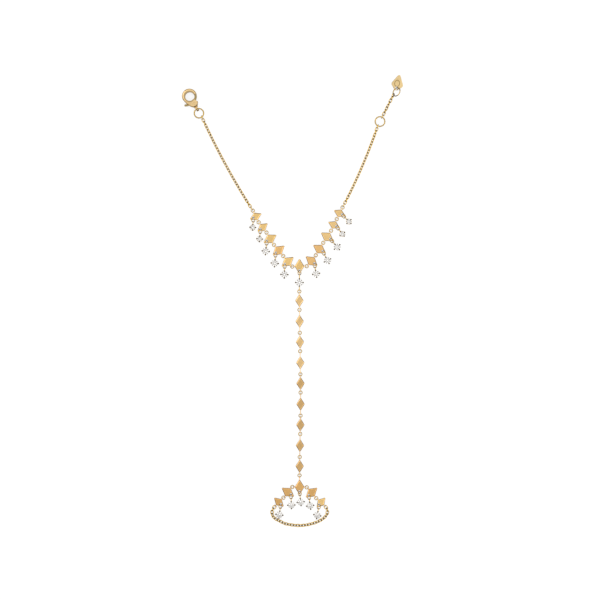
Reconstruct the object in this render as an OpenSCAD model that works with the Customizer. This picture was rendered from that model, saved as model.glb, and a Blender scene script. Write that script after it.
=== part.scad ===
// Hand chain bracelet, laid out flat. A wrist row of rhombus plates carries
// stone drops and runs out in two chains, one to a lobster clasp and one to a
// sizing ring, a short extension and a tag. A line of plates runs down over the
// hand to a finger loop of plates, drops and chain.
// Lengths are millimetres. +Y points from the finger loop to the clasp, +Z is
// up, and z = 0 is the surface that the bracelet lies on.

/* [Plates] */
// Length of a large rhombus plate, tip to tip
large_l = 5.8; // [5.5:0.1:6.3]
// Width of a large rhombus plate, corner to corner
large_w = 3.7; // [3.5:0.1:4.1]
// Length of a small rhombus plate
small_l = 5; // [4.8:0.1:5.4]
// Width of a small rhombus plate
small_w = 3.1; // [3:0.1:3.5]
// Length of a plate of the hand line
hand_l = 4.9; // [4.2:0.1:5.6]
// Width of a plate of the hand line
hand_w = 3.2; // [2.8:0.1:3.8]
// Thickness of every plate
plate_t = 0.45; // [0.35:0.05:0.5]
// Width of the polished bevel, seen from above
bevel_w = 0.34; // [0.2:0.02:0.44]
// Depth of the polished bevel
bevel_h = 0.18; // [0.1:0.02:0.26]
// Width of the flat on each tip and corner
tip_flat = 0.24; // [0.16:0.02:0.4]

/* [Eyelets and jump rings] */
// Height of a soldered eyelet, which stands on edge
eye_h = 1.05; // [1:0.05:1.3]
// Wire of an eyelet
eye_wire = 0.26; // [0.2:0.02:0.28]
// How far an eyelet runs into its plate
eye_sink = 0.32; // [0.28:0.02:0.4]
// Reach of a side eyelet, from the corner to the middle of its outer wire
side_reach = 0.78; // [0.74:0.02:1]
// Reach of a short eyelet of the hand line
hand_short_reach = 0.96; // [0.8:0.02:1.2]
// Reach of a long eyelet of the hand line
hand_long_reach = 1.88; // [1.4:0.02:2.2]
// Reach of the eyelet at the top of the middle finger plate
finger_top_reach = 1.5; // [1:0.02:1.6]
// Outer diameter of a jump ring between plates
jump_od = 1.65; // [1.5:0.05:1.8]
// Wire of a jump ring
jump_wire = 0.3; // [0.22:0.02:0.32]
// Gap between two wires that hook into each other
play = 0.13; // [0.12:0.01:0.14]

/* [Drops] */
// Hole in a plate for its drop
drop_hole_d = 0.94; // [0.92:0.02:1]
// Middle of that hole from the plate's outer tip
hole_inset = 1.4; // [1.3:0.05:1.5]
// The same on the two middle plates, whose drop hangs over the tip
tip_hole_inset = 1.2; // [1.15:0.01:1.25]
// Outer diameter of a drop's jump ring
drop_od = 2.08; // [2.04:0.02:2.3]
// Wire of a drop's jump ring
drop_wire = 0.28; // [0.22:0.02:0.28]
// Lean of that ring about the line of its drop
drop_roll = 45; // [43:1:47]
// Height of a bail, which stands on edge
bail_h = 1.28; // [1.26:0.02:1.5]
// Wire of a bail
bail_wire = 0.26; // [0.2:0.02:0.28]
// Length of a large stone's bail, from its top wire to the setting's rail
large_bail = 1.75; // [1.6:0.05:2.2]
// Length of a small stone's bail
small_bail = 1.55; // [1.5:0.05:2]
// Length of the middle stone's bail
centre_bail = 2.3; // [1.9:0.05:2.6]
// Length of the loop under the middle drop, which holds the hand line
lower_bail = 2.2; // [1.7:0.05:2.6]

/* [Settings and stones] */
// Diameter of a large stone
large_stone_d = 2.7; // [2.5:0.05:2.9]
// Diameter of a small stone
small_stone_d = 2.1; // [2:0.05:2.3]
// Diameter of the middle stone
centre_stone_d = 2.9; // [2.7:0.05:3.1]
// Thickness of a prong
prong_d = 0.44; // [0.36:0.02:0.5]
// Diameter of the bend of a prong beside the stone's edge
prong_bend_d = 0.48; // [0.44:0.02:0.56]
// Diameter of the ball that ends a prong
prong_ball_d = 0.58; // [0.5:0.02:0.66]
// How far a prong reaches in over the edge of its stone
prong_bite = 0.08; // [0.04:0.01:0.12]
// How far the prongs stand above the edge of the stone
prong_rise = 0.16; // [0.1:0.02:0.24]
// Wire of the two rails of a setting
rail_wire = 0.26; // [0.2:0.02:0.3]
// Diameter of the foot rail, wire middle to wire middle
foot_d = 1.4; // [1.2:0.05:1.5]
// Height of a stone's point above the surface
culet_z = 0.32; // [0.3:0.02:0.5]
// Gap between a stone and its seat
seat_gap = 0.02; // [0.01:0.01:0.04]

/* [Chains] */
// Outer length of a wrist link
link_l = 1.91; // [1.8:0.01:2.2]
// Outer width of a wrist link
link_w = 1.3; // [1.26:0.02:1.45]
// Wire of a wrist link
link_wire = 0.3; // [0.22:0.02:0.32]
// Links from the wrist row to the clasp's ring
left_links = 36; // [30:1:44]
// Links from the wrist row to the sizing ring
right_links = 30; // [26:1:38]
// Links of the extension past the sizing ring
extension_links = 9; // [5:1:14]
// Outer width of a finger link
finger_link_w = 1.5; // [1.4:0.05:1.6]
// Wire of a finger link
finger_link_wire = 0.32; // [0.24:0.02:0.34]
// Longest pitch of the finger links
finger_pitch = 1.16; // [1.12:0.02:1.5]
// Links over which a chain turns from its end into its lie
settle_links = 4; // [3:1:6]

/* [Clasp] */
// Thickness of the clasp
clasp_t = 2.4; // [2.2:0.1:2.8]
// Opening of the hook
hook_d = 3.6; // [3.3:0.1:3.8]
// Outer diameter of the hook
hook_od = 5.9; // [5.7:0.1:6.2]
// Rounding of the hook's outer edge
hook_round = 0.6; // [0.3:0.05:0.8]
// How much thicker the hook is at its top than at its sides
hook_shift = 0.2; // [0.1:0.05:0.3]
// From the tail's outer wall to the middle of the opening
tail_l = 6.65; // [6.4:0.05:7.2]
// Eye of the tail
tail_hole_d = 1.1; // [1:0.05:1.2]
// Wall around that eye
tail_wall = 0.42; // [0.34:0.02:0.5]
// Width of the tail at the eye
tail_w = 0.9; // [0.7:0.05:1.1]
// How much wider the wedge's foot is than the tail
neck_flare = 0.3; // [0.2:0.05:0.5]
// Widest radius of the wedge below the hook
wedge_r = 2.75; // [2.5:0.05:2.9]
// From the middle of the opening to the lever's pivot
pivot_drop = 3.3; // [3.2:0.05:3.5]
// Pivot pin
pin_d = 0.7; // [0.6:0.05:0.8]
// Radial play of the lever on its pin
pin_play = 0.05; // [0.03:0.01:0.08]
// Radial gap of the pin in the cheeks
pin_seat_gap = 0.01; // [0.01:0.01:0.02]
// How far the pin's ends lie below the cheeks
pin_recess = 0.05; // [0:0.01:0.1]
// Thickness of the lever
lever_t = 1.2; // [1:0.05:1.3]
// Play on each face of the lever
lever_play = 0.05; // [0.03:0.01:0.08]
// Boss around the lever's pivot
lever_boss_d = 1.6; // [1.5:0.05:1.7]
// Room around that boss in the slot
boss_room = 0.2; // [0.1:0.05:0.3]
// Width of the lever's arm
arm_w = 0.92; // [0.8:0.02:1]
// Width of the neck between the boss and the arm
neck_w = 1.3; // [1:0.05:1.5]
// Lean of that neck
neck_lean = 12; // [8:1:16]
// Reach of the thumb tab to the left of the pivot
tab_reach = 3.3; // [3:0.1:3.6]
// Height of the tab's end above the pivot
tab_rise = 1.1; // [0.8:0.05:1.2]
// Width of the thumb tab
tab_w = 0.8; // [0.6:0.05:0.9]
// Room in the slot for the tab of the open lever, below the boss
tab_room = 0.6; // [0.5:0.05:0.8]
// Angle to which the hook is cut away for the lever, below square
hook_cut = 62; // [58:1:66]
// Angle at which the lever's arm starts, below square
arm_start = 86; // [80:1:88]
// Reach of the lever's tip from its pivot
tip_reach = 3.7; // [3.6:0.02:3.8]
// Gap between that tip and the hook's end
tip_gap = 0.08; // [0.05:0.01:0.14]

/* [Rings at the ends] */
// Outer diameter of the clasp's ring
clasp_ring_od = 4.2; // [3.8:0.1:4.6]
// Wire of the clasp's ring
clasp_ring_wire = 0.46; // [0.38:0.02:0.5]
// Outer diameter of the sizing ring
sizing_ring_od = 4.3; // [3.9:0.1:4.8]
// Wire of the sizing ring
sizing_ring_wire = 0.44; // [0.36:0.02:0.5]
// Outer diameter of the tag's ring
end_ring_od = 3.9; // [3.6:0.1:4.2]
// Wire of the tag's ring
end_ring_wire = 0.38; // [0.3:0.02:0.4]
// Lean of the tag's ring as it lies on its side
end_ring_roll = 45; // [43:1:48]

/* [Tag] */
// From the middle of the tag's hole to its rounded top
tag_l = 5.3; // [4.8:0.1:5.8]
// Width of the tag
tag_w = 4.7; // [4.2:0.1:5]
// Thickness of the tag
tag_t = 0.4; // [0.3:0.05:0.45]
// Hole of the tag
tag_hole_d = 1.16; // [1.1:0.02:1.3]
// Metal left around that hole
tag_rim = 0.36; // [0.3:0.02:0.5]
// Rounding of the tag's top
tag_top_r = 0.6; // [0.4:0.05:0.9]
// Rounding of the tag's shoulders
tag_side_r = 1.05; // [0.8:0.05:1.3]

/* [Hidden] */
$fn = 64;
gold = "gold";
eps = 0.01;

// A heading is measured clockwise from +Y.
function dir(a) = [sin(a), cos(a)];
function heading(p, q) = atan2(q.x - p.x, q.y - p.y);
function turned(p, a) = [p.x * cos(a) - p.y * sin(a), p.x * sin(a) + p.y * cos(a)];
function mix(a, b, t) = a + (b - a) * t;
function sum(v, n, i = 0) = i >= n ? 0 : v[i] + sum(v, n, i + 1);

// Rows of plates as they lie, from the middle plate outward: size, lean of the
// long axis, heading across the jump ring before the plate, swing of its drop
// and the drop's stone.
WRIST_LEFT = [
  ["large", 0, 0, -0.5, "centre"],
  ["large", 52, -118, -2, "large"],
  ["large", 51, -42, -5, "large"],
  ["large", 59, -50, -6, "large"],
  ["small", 51, -18, -5, "small"],
  ["small", 64, -28, -3, "small"],
];
WRIST_RIGHT = [
  ["large", 0, 0, -0.5, "centre"],
  ["large", -51, 85, 9, "large"],
  ["large", -58, 12, 27, "large"],
  ["large", -56, 25, 40, "large"],
  ["small", -63, 19, 37, "small"],
  ["small", -63, 17, 44, "small"],
];
FINGER_LEFT = [
  ["large", 0, 0, 6, "large"],
  ["large", -55, -78, 2, "large"],
  ["small", -47, -103, -8, "large"],
];
FINGER_RIGHT = [
  ["large", 0, 0, 6, "large"],
  ["large", 50, 114, 8, "large"],
  ["small", 41, 140, -11, "large"],
];
// Lean of each plate of the hand line, from the wrist to the finger
HAND_LEAN = [-0.5, -0.8, -1, -0.7, -0.5, 0, 1.2, 1.1, 0.6];
// Headings at the start and the end of each straight chain
LEFT_HEADING = [-32.5, -24.5];
RIGHT_HEADING = [27.5, 19];
EXTENSION_HEADING = [26.5, 27];
// Headings from the last link to the middle of each ring, and from the middle
// of the clasp's ring to the clasp
clasp_ring_heading = -38;
clasp_tail_heading = -20;
sizing_ring_heading = 27;
end_ring_heading = 24;
clasp_heading = -30.7;
tag_heading = 13;
// Route of the finger chain, from the middle of the middle finger plate
FINGER_ROUTE = [
  [-10.7, -8.7], [-11.05, -9.8], [-11, -11], [-10.5, -12.1], [-9.3, -12.9],
  [-8.1, -13.5], [-7.1, -14], [-6, -14.6], [-4, -15], [-1.85, -15.3],
  [0.55, -15.4], [2.8, -15.15], [4.85, -14.65], [6.4, -14.25], [7.8, -13.6],
  [8.9, -13], [10, -12.2], [10.9, -11.2], [11.25, -9.9], [11.1, -8.9],
];

// Heights. Everything soft lies with its middle at mid_z, set by the loop that
// stands tallest on the surface.
drop_r = (drop_od - drop_wire) / 2;
jump_r = (jump_od - jump_wire) / 2;
link_pitch = link_l - 2 * link_wire - play;
mid_z = max(drop_r * sin(drop_roll) + drop_wire / 2, bail_h / 2, eye_h / 2, link_w / 2, finger_link_w / 2);

// Distance between the outer wires of two eyelets that one jump ring joins
ring_span = 2 * (jump_r - (eye_wire + jump_wire) / 2 - play);

function plate_size(size) = size == "large" ? [large_w, large_l] : size == "small" ? [small_w, small_l] : [hand_w, hand_l];
function stone_d(kind) = kind == "large" ? large_stone_d : kind == "small" ? small_stone_d : centre_stone_d;
function bail_l(kind) = kind == "large" ? large_bail : kind == "small" ? small_bail : centre_bail;

// Walk along a row of plates
function outward(row, side) = side * dir(row[1] + 90);
function corner_eye(row) = plate_size(row[0]).x / 2 + side_reach;
function plate_at(rows, side, i) = i == 0 ? [0, 0] :
  ring_at(rows, side, i) + dir(rows[i][2]) * ring_span / 2 + outward(rows[i], side) * corner_eye(rows[i]);
function ring_at(rows, side, i) =
  plate_at(rows, side, i - 1) + outward(rows[i - 1], side) * corner_eye(rows[i - 1]) + dir(rows[i][2]) * ring_span / 2;
function last_eye(rows, side) =
  plate_at(rows, side, len(rows) - 1) + outward(rows[len(rows) - 1], side) * corner_eye(rows[len(rows) - 1]);

// Drops: the hole, the jump ring in it, the bail's top wire and the setting
taut = 2 * drop_r - (drop_wire + bail_wire) / 2 - play;
function inset(i) = i == 0 ? tip_hole_inset : hole_inset;
function hole_out(size, i) = plate_size(size).y / 2 - inset(i);
function hole_at(rows, side, i) = plate_at(rows, side, i) - dir(rows[i][1]) * hole_out(rows[i][0], i);
function drop_dir(swing) = dir(180 - swing);
function prong_out(kind) = stone_d(kind) / 2 + prong_d / 2 - prong_bite;
function girdle_z(kind) = culet_z + PAVILION * stone_d(kind);
function rail_out(kind) =
  mix(foot_d / 2, prong_out(kind), (mid_z - rail_wire / 2) / (girdle_z(kind) - rail_wire / 2));
function stone_at(rows, side, i) =
  hole_at(rows, side, i) + drop_dir(rows[i][3]) * (taut + bail_l(rows[i][4]) + rail_out(rows[i][4]));

// Proportions of a round brilliant, as shares of its diameter
TABLE = 0.28;
CROWN = 0.155;
GIRDLE = 0.035;
PAVILION = 0.43;
STAR = 0.385;
LOWER = 0.12;

// The hand line
function hand_reach(i) = i % 2 == 0 ? hand_short_reach : hand_long_reach;
function hand_half(i) = ring_span / 2 + hand_reach(i) + hand_l / 2;
middle_stone = stone_at(WRIST_LEFT, -1, 0);
hand_start = middle_stone + drop_dir(WRIST_LEFT[0][3]) * (rail_out("centre") + lower_bail + ring_span / 2);
function hand_ring_at(i) = i == 0 ? hand_start : hand_plate_at(i - 1) - dir(HAND_LEAN[i - 1]) * hand_half(i - 1);
function hand_plate_at(i) = hand_ring_at(i) - dir(HAND_LEAN[i]) * hand_half(i);
hand_count = len(HAND_LEAN);
finger_at = hand_ring_at(hand_count) - [0, ring_span / 2 + finger_top_reach + large_l / 2];

// Chains that lie nearly straight
function lerp_heading(ends, i, n) = mix(ends[0], ends[1], i / (n - 1));
function node_at(start, ends, i, n) =
  i == 0 ? start : node_at(start, ends, i - 1, n) + dir(lerp_heading(ends, i - 1, n)) * link_pitch;
function chain_nodes(start, ends, n) = [for (i = [0:n]) node_at(start, ends, i, n)];
function past_jump_ring(ring, a) = ring + dir(a) * (jump_r - (jump_wire + play) / 2);

// Where the wire of the next piece crosses the last link. slant is how far that
// wire runs out of square with the link.
function end_wire(nodes, wire, slant = 0) =
  nodes[len(nodes) - 1] + dir(heading(nodes[len(nodes) - 2], nodes[len(nodes) - 1]))
    * ((link_wire + play) / 2 - ((link_wire + wire) / 2 + play) / cos(slant));

left_ring = last_eye(WRIST_LEFT, -1) + dir(LEFT_HEADING[0]) * ring_span / 2;
left_nodes = chain_nodes(past_jump_ring(left_ring, LEFT_HEADING[0]), LEFT_HEADING, left_links);
right_ring = last_eye(WRIST_RIGHT, 1) + dir(RIGHT_HEADING[0]) * ring_span / 2;
right_nodes = chain_nodes(past_jump_ring(right_ring, RIGHT_HEADING[0]), RIGHT_HEADING, right_links);

// The clasp and its ring. The ring leans up from the chain to the clasp's middle.
clasp_ring_r = (clasp_ring_od - clasp_ring_wire) / 2;
clasp_z = clasp_t / 2;
clasp_ring_lean = asin((clasp_z - mid_z) / (2 * clasp_ring_r));
clasp_ring_at = end_wire(left_nodes, clasp_ring_wire) + dir(clasp_ring_heading) * clasp_ring_r * cos(clasp_ring_lean);
tail_play = 2 * play;
clasp_at = clasp_ring_at
  + dir(clasp_tail_heading) * (clasp_ring_r * cos(clasp_ring_lean) - (clasp_ring_wire + tail_wall) / 2 - tail_play);
open_y = tail_l - tail_wall / 2;
pivot_y = open_y - pivot_drop;
tab_end = [-tab_reach, pivot_y + tab_rise];

// The sizing ring, the extension and the tag's ring
sizing_ring_r = (sizing_ring_od - sizing_ring_wire) / 2;
sizing_ring_at = end_wire(right_nodes, sizing_ring_wire) + dir(sizing_ring_heading) * sizing_ring_r;
extension_nodes = chain_nodes(
  sizing_ring_at + dir(EXTENSION_HEADING[0]) * (sizing_ring_r - (sizing_ring_wire + play) / 2),
  EXTENSION_HEADING, extension_links);
end_ring_r = (end_ring_od - end_ring_wire) / 2;
end_ring_z = end_ring_r * sin(end_ring_roll) + end_ring_wire / 2;
// The chain and the tag hook on where the leaning ring passes mid_z
end_angle = asin((end_ring_z - mid_z) / (end_ring_r * sin(end_ring_roll)));
end_side = sin(end_angle) * cos(end_ring_roll);
end_ring_at = end_wire(extension_nodes, end_ring_wire, end_angle)
  + end_ring_r * (cos(end_angle) * dir(end_ring_heading) + end_side * dir(end_ring_heading + 90));
tag_at = end_ring_at
  + end_ring_r * (cos(end_angle) * dir(end_ring_heading) - end_side * dir(end_ring_heading + 90));
// The tag rests on the ring's wire and on its own right edge
tag_tilt = asin((mid_z - tag_t / 2) / (tag_w / 2));

// The finger chain
finger_start = finger_at + last_eye(FINGER_LEFT, -1)
  - outward(FINGER_LEFT[len(FINGER_LEFT) - 1], -1) * (eye_wire + play) / 2;
finger_end = finger_at + last_eye(FINGER_RIGHT, 1)
  - outward(FINGER_RIGHT[len(FINGER_RIGHT) - 1], 1) * (eye_wire + play) / 2;
finger_route = concat([finger_start], [for (p = FINGER_ROUTE) finger_at + p], [finger_end]);
route_steps = [for (i = [1:len(finger_route) - 1]) norm(finger_route[i] - finger_route[i - 1])];
route_l = sum(route_steps, len(route_steps));
finger_links = ceil(route_l / finger_pitch);
function along(d, i = 0) = (i == len(route_steps) - 1 || d <= route_steps[i]) ?
  mix(finger_route[i], finger_route[i + 1], min(1, d / route_steps[i])) : along(d - route_steps[i], i + 1);
finger_nodes = [for (i = [0:finger_links]) along(route_l * i / finger_links)];

// The middle of the whole, so that the origin is under it
far_left = clasp_at.x + min(
  turned(tab_end, -clasp_heading).x - tab_w / 2,
  turned([0, open_y + hook_shift], -clasp_heading).x - hook_od / 2);
far_right = tag_at.x + max(
  turned([tag_w / 2 * cos(tag_tilt), tag_side_r], -tag_heading).x,
  turned([tag_w / 2 - tag_side_r, tag_side_r + tag_rim], -tag_heading).x + tag_side_r);
far_top = tag_at.y + turned([0, tag_l - tag_top_r], -tag_heading).y + tag_top_r;
far_bottom = min([for (p = finger_nodes) p.y]) - finger_link_w / 2;
shift = -[(far_left + far_right) / 2, (far_top + far_bottom) / 2, 0];

function names(stem, n) = [for (i = [1:n]) str(stem, i)];
wrist_count = len(WRIST_LEFT) + len(WRIST_RIGHT) - 1;
finger_count = len(FINGER_LEFT) + len(FINGER_RIGHT) - 1;

// A row is numbered across from its left end. slot() gives the side and the
// place in that side's list, and the middle plate is place 0 on the left.
function slot(k, left_n) = k <= left_n + 1 ? [-1, left_n + 1 - k] : [1, k - left_n - 1];

// Wire shapes
module ring(r, wire) {
  rotate_extrude() translate([r, 0]) circle(d = wire, $fn = 24);
}

// An oval link, l by w at the wire's middle, its straights in whole micrometres
module oval(l, w, wire) {
  straight = round((l - w) * 1000) / 1000;
  for (s = [-1, 1])
    translate([0, s * straight / 2, 0]) rotate([0, 0, s > 0 ? 0 : 180])
      rotate_extrude(angle = 180) translate([w / 2, 0]) circle(d = wire, $fn = 24);
  if (straight > eps)
    for (s = [-1, 1])
      translate([s * w / 2, 0, 0]) rotate([90, 0, 0]) cylinder(d = wire, h = straight, center = true, $fn = 24);
}

module rod(p, q, d) {
  v = q - p;
  translate(p) rotate([0, acos(v.z / norm(v)), atan2(v.y, v.x)]) cylinder(d = d, h = norm(v), $fn = 32);
}

module at(p, z = 0) {
  translate([p.x, p.y, z] + shift) children();
}

module on_heading(a) {
  rotate([0, 0, -a]) children();
}

// Plates
module rhombus(w, l) {
  f = tip_flat / 2;
  polygon([[f, l / 2], [w / 2, f], [w / 2, -f], [f, -l / 2], [-f, -l / 2], [-w / 2, -f], [-w / 2, f], [-f, l / 2]]);
}

module bevel_cut(w, l) {
  f = tip_flat / 2;
  long = norm([w, l]);
  translate([(w / 2 + f) / 2, (l / 2 + f) / 2, 0])
    rotate([0, 0, -atan2(l / 2 - f, w / 2 - f)])
      translate([0, -bevel_w, plate_t / 2]) rotate([-atan2(bevel_h, bevel_w), 0, 0])
        translate([-long, 0, 0]) cube([2 * long, long, long]);
}

module blank(w, l) {
  difference() {
    linear_extrude(plate_t, center = true) rhombus(w, l);
    for (x = [0, 1]) for (y = [0, 1])
      mirror([x, 0, 0]) mirror([0, y, 0]) bevel_cut(w, l);
  }
}

// An eyelet on edge, its wire end at reach past the local +Y edge
module eyelet(edge, reach) {
  l = reach + eye_sink;
  translate([0, edge + reach - l / 2, 0]) rotate([0, 90, 0]) oval(l, eye_h - eye_wire, eye_wire);
}

module row_plate(rows, side, i, start, top_reach) {
  row = rows[i];
  size = plate_size(row[0]);
  at(start + plate_at(rows, side, i), mid_z) on_heading(row[1]) color(gold) {
    difference() {
      blank(size.x, size.y);
      translate([0, -hole_out(row[0], i), 0]) cylinder(d = drop_hole_d, h = 2 * plate_t, center = true);
    }
    for (a = [90, -90]) on_heading(a) eyelet(size.x / 2, side_reach);
    if (i == 0 && top_reach > 0) eyelet(size.y / 2, top_reach);
  }
}

module wrist_plate(k) {
  s = slot(k, len(WRIST_LEFT) - 1);
  row_plate(s[0] < 0 ? WRIST_LEFT : WRIST_RIGHT, s[0], s[1], [0, 0], 0);
}

module finger_plate(k) {
  s = slot(k, len(FINGER_LEFT) - 1);
  row_plate(s[0] < 0 ? FINGER_LEFT : FINGER_RIGHT, s[0], s[1], finger_at, finger_top_reach);
}

module hand_plate(k) {
  i = k - 1;
  at(hand_plate_at(i), mid_z) on_heading(HAND_LEAN[i]) color(gold) {
    blank(hand_w, hand_l);
    for (a = [0, 180]) on_heading(a) eyelet(hand_l / 2, hand_reach(i));
  }
}

// Jump rings between plates, flat on the surface's plane
module wrist_jump_rings() {
  color(gold) {
    for (i = [1:len(WRIST_LEFT) - 1]) at(ring_at(WRIST_LEFT, -1, i), mid_z) ring(jump_r, jump_wire);
    for (i = [1:len(WRIST_RIGHT) - 1]) at(ring_at(WRIST_RIGHT, 1, i), mid_z) ring(jump_r, jump_wire);
    at(left_ring, mid_z) ring(jump_r, jump_wire);
    at(right_ring, mid_z) ring(jump_r, jump_wire);
  }
}

module hand_jump_rings() {
  color(gold) for (i = [0:hand_count]) at(hand_ring_at(i), mid_z) ring(jump_r, jump_wire);
}

module finger_jump_rings() {
  color(gold) {
    for (i = [1:len(FINGER_LEFT) - 1])
      at(finger_at + ring_at(FINGER_LEFT, -1, i), mid_z) ring(jump_r, jump_wire);
    for (i = [1:len(FINGER_RIGHT) - 1])
      at(finger_at + ring_at(FINGER_RIGHT, 1, i), mid_z) ring(jump_r, jump_wire);
  }
}

// Drops
module drop_ring(rows, side, i, start) {
  a = 180 - rows[i][3];
  at(start + hole_at(rows, side, i) + dir(a) * drop_r, mid_z)
    on_heading(a) rotate([0, side * drop_roll, 0]) ring(drop_r, drop_wire);
}

module drop_rings(left, right, start) {
  for (i = [0:len(left) - 1]) drop_ring(left, -1, i, start);
  for (i = [1:len(right) - 1]) drop_ring(right, 1, i, start);
}

module wrist_drop_rings() {
  color(gold) drop_rings(WRIST_LEFT, WRIST_RIGHT, [0, 0]);
}

module finger_drop_rings() {
  color(gold) drop_rings(FINGER_LEFT, FINGER_RIGHT, finger_at);
}

// The shape that a stone and its gap take out of the prongs
module seat_cut(kind) {
  d = stone_d(kind);
  z = girdle_z(kind);
  g = seat_gap;
  rotate_extrude() polygon([
    [0, culet_z - g], [d / 2 + g, z - g], [d / 2 + g, z + GIRDLE * d + g],
    [STAR * d + g, star_z(kind) + 2 * g], [TABLE * d, z + (GIRDLE + CROWN) * d + g],
    [0, z + (GIRDLE + CROWN) * d + g]]);
}

module prong(kind) {
  top = girdle_z(kind) + GIRDLE * stone_d(kind);
  foot = [foot_d / 2, 0, rail_wire / 2];
  shoulder = [prong_out(kind), 0, girdle_z(kind)];
  tip = [prong_out(kind) - prong_bite, 0, top + prong_rise];
  rod(foot, shoulder, prong_d);
  translate(shoulder) sphere(d = prong_bend_d, $fn = 32);
  rod(shoulder, tip, prong_d);
  translate(tip) sphere(d = prong_ball_d, $fn = 32);
}

module setting(kind, lower) {
  bail = bail_l(kind);
  difference() {
    union() {
      translate([0, 0, rail_wire / 2]) ring(foot_d / 2, rail_wire);
      translate([0, 0, mid_z]) ring(rail_out(kind), rail_wire);
      for (a = [0:90:270]) rotate([0, 0, a]) prong(kind);
      translate([0, rail_out(kind) + bail / 2, mid_z]) rotate([0, 90, 0]) oval(bail, bail_h - bail_wire, bail_wire);
      if (lower > 0)
        translate([0, -rail_out(kind) - lower / 2, mid_z]) rotate([0, 90, 0])
          oval(lower, eye_h - eye_wire, eye_wire);
    }
    seat_cut(kind);
    translate([0, 0, -stone_d(kind)]) cube(2 * stone_d(kind), center = true);
  }
}

module row_settings(rows, side, first, start) {
  for (i = [first:len(rows) - 1])
    at(start + stone_at(rows, side, i)) rotate([0, 0, rows[i][3]])
      setting(rows[i][4], rows[i][4] == "centre" ? lower_bail : 0);
}

module wrist_settings() {
  color(gold) {
    row_settings(WRIST_LEFT, -1, 0, [0, 0]);
    row_settings(WRIST_RIGHT, 1, 1, [0, 0]);
  }
}

module finger_settings() {
  color(gold) {
    row_settings(FINGER_LEFT, -1, 0, finger_at);
    row_settings(FINGER_RIGHT, 1, 1, finger_at);
  }
}

// Round brilliants, with eight-fold facets. Bezels and mains are flat kites.
function circle_points(n, r, z, a = 0) = [for (i = [0:n - 1]) [r * sin(a + 360 * i / n), r * cos(a + 360 * i / n), z]];
function star_z(kind) = girdle_z(kind) + stone_d(kind)
  * (GIRDLE + CROWN * (0.5 - STAR * cos(22.5)) / (0.5 - TABLE));

module stone(kind) {
  d = stone_d(kind);
  z = girdle_z(kind);
  points = concat(
    circle_points(8, TABLE * d, z + (GIRDLE + CROWN) * d),
    circle_points(8, STAR * d, star_z(kind), 22.5),
    circle_points(16, d / 2, z + GIRDLE * d),
    circle_points(16, d / 2, z),
    circle_points(8, LOWER * d, culet_z + PAVILION * d * 2 * LOWER * cos(22.5), 22.5),
    [[0, 0, culet_z]]);
  t = 0; s = 8; g = 16; h = 32; p = 48; k = 56;
  faces = concat(
    [[for (i = [0:7]) t + i]],
    [for (i = [0:7]) [t + i, s + i, t + (i + 1) % 8]],
    [for (i = [0:7]) [t + i, s + (i + 7) % 8, g + 2 * i, s + i]],
    [for (i = [0:7]) [s + i, g + 2 * i, g + 2 * i + 1]],
    [for (i = [0:7]) [s + i, g + 2 * i + 1, g + (2 * i + 2) % 16]],
    [for (i = [0:15]) [g + (i + 1) % 16, g + i, h + i, h + (i + 1) % 16]],
    [for (i = [0:7]) [p + i, h + 2 * i + 1, h + 2 * i]],
    [for (i = [0:7]) [p + i, h + (2 * i + 2) % 16, h + 2 * i + 1]],
    [for (i = [0:7]) [h + 2 * i, p + (i + 7) % 8, k, p + i]]);
  polyhedron(points, faces, convexity = 2);
}

module row_stone(rows, s, start) {
  row = rows[s[1]];
  at(start + stone_at(rows, s[0], s[1])) rotate([0, 0, row[3]]) color("white") stone(row[4]);
}

module wrist_stone(k) {
  s = slot(k, len(WRIST_LEFT) - 1);
  row_stone(s[0] < 0 ? WRIST_LEFT : WRIST_RIGHT, s, [0, 0]);
}

module finger_stone(k) {
  s = slot(k, len(FINGER_LEFT) - 1);
  row_stone(s[0] < 0 ? FINGER_LEFT : FINGER_RIGHT, s, finger_at);
}

// Chains. A chain leaves its first piece at the roll start, comes to its last
// piece at the roll finish, and lies at half a right angle in between.
function end_turn(n, start, finish) = (((finish - start - 90 * (n - 1)) % 180) + 180) % 180;
function roll_at(i, n, start, finish) = start + 90 * i + 45 * min(1, i / settle_links)
  + (end_turn(n, start, finish) - 45) * max(0, 1 - (n - 1 - i) / settle_links);

module links(nodes, pitch, w, wire, start, finish) {
  n = len(nodes) - 1;
  for (i = [0:n - 1])
    at((nodes[i] + nodes[i + 1]) / 2, mid_z) on_heading(heading(nodes[i], nodes[i + 1]))
      rotate([0, roll_at(i, n, start, finish), 0]) oval(pitch + wire + play, w - wire, wire);
}

module left_chain() {
  color(gold) links(left_nodes, link_pitch, link_w, link_wire, 90, 90);
}

module right_chain() {
  color(gold) links(right_nodes, link_pitch, link_w, link_wire, 90, 90);
}

module extension_chain() {
  color(gold) links(extension_nodes, link_pitch, link_w, link_wire, 90, 90 - end_ring_roll);
}

module finger_chain() {
  color(gold) links(finger_nodes, route_l / finger_links, finger_link_w, finger_link_wire, 0, 0);
}

// Clasp, in its own frame: the tail eye's outer wire is at the origin and the
// hook is up +Y
module clasp_place() {
  at(clasp_at, clasp_z) on_heading(clasp_heading) children();
}

// A turned disc with a rounded rim
module rounded_disc(r, t, round) {
  rotate_extrude() {
    translate([0, -t / 2]) square([r - round, t]);
    translate([0, round - t / 2]) square([r, t - 2 * round]);
    for (s = [-1, 1]) translate([r - round, s * (t / 2 - round)]) circle(r = round);
  }
}

// Half outline of the wedge, from the tail up to the hook. WEDGE has its radius,
// as shares of wedge_r, at shares of the way from the pivot to the opening.
WEDGE = [[-0.06, 0.68], [0.4, 0.92], [0.7, 1]];

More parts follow.
